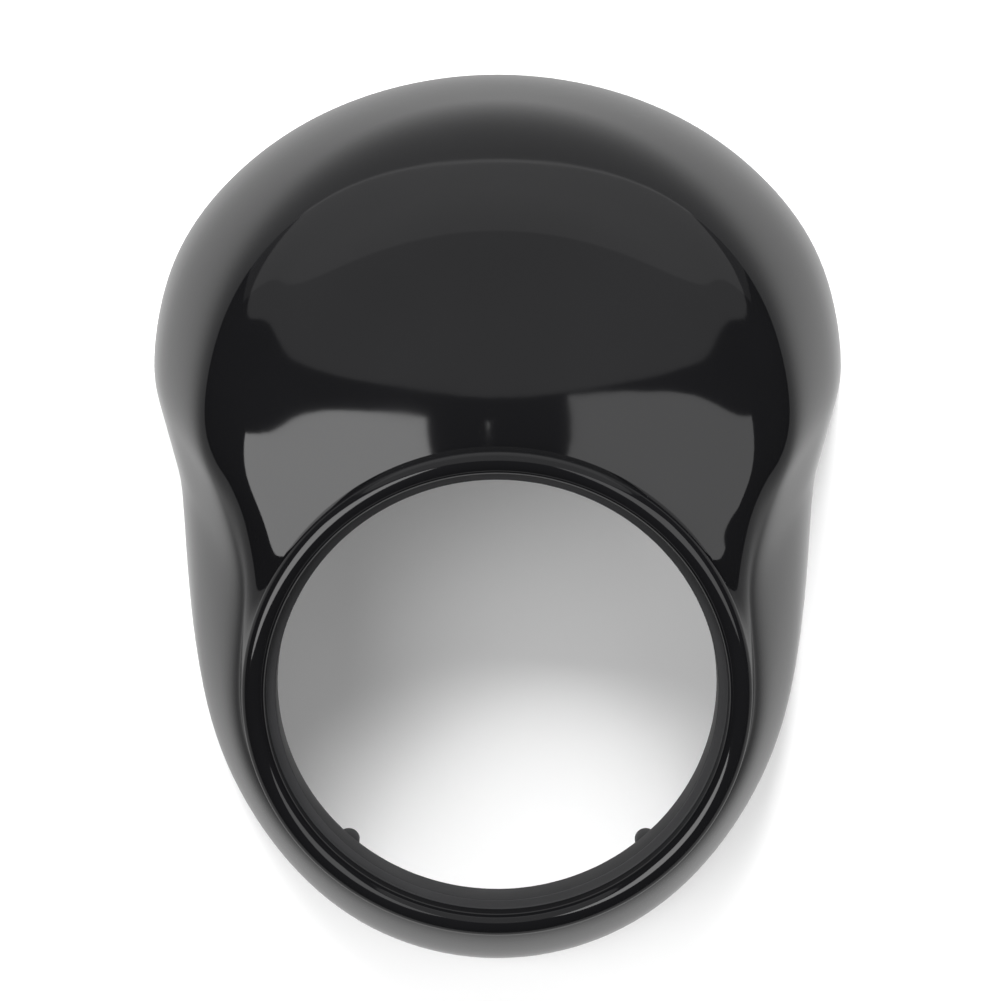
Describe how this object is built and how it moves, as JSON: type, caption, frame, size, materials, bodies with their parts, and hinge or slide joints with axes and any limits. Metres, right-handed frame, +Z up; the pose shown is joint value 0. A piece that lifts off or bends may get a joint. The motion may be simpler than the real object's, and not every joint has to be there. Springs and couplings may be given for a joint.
{
  "type": "headlight cowl",
  "caption": "Gloss black moulded cowl for a motorcycle headlamp, with a domed top, a rolled ring round the lamp opening and side walls that sweep back to an open rear rim.",
  "frame": {"origin": "centre of the lamp opening, in the plane of the flat seat inside the rolled ring", "axes": "lamp axis along Y with the front of the cowl towards -Y, +Z up as fitted on the motorcycle, +X towards the left of someone looking out through the opening"},
  "size_m": [0.275, 0.1954, 0.3414],
  "materials": {
    "gloss_black_plastic": "gloss"
  },
  "bodies": {
    "root": {"cowl_shell": "gloss_black_plastic"}
  },
  "joints": []
}
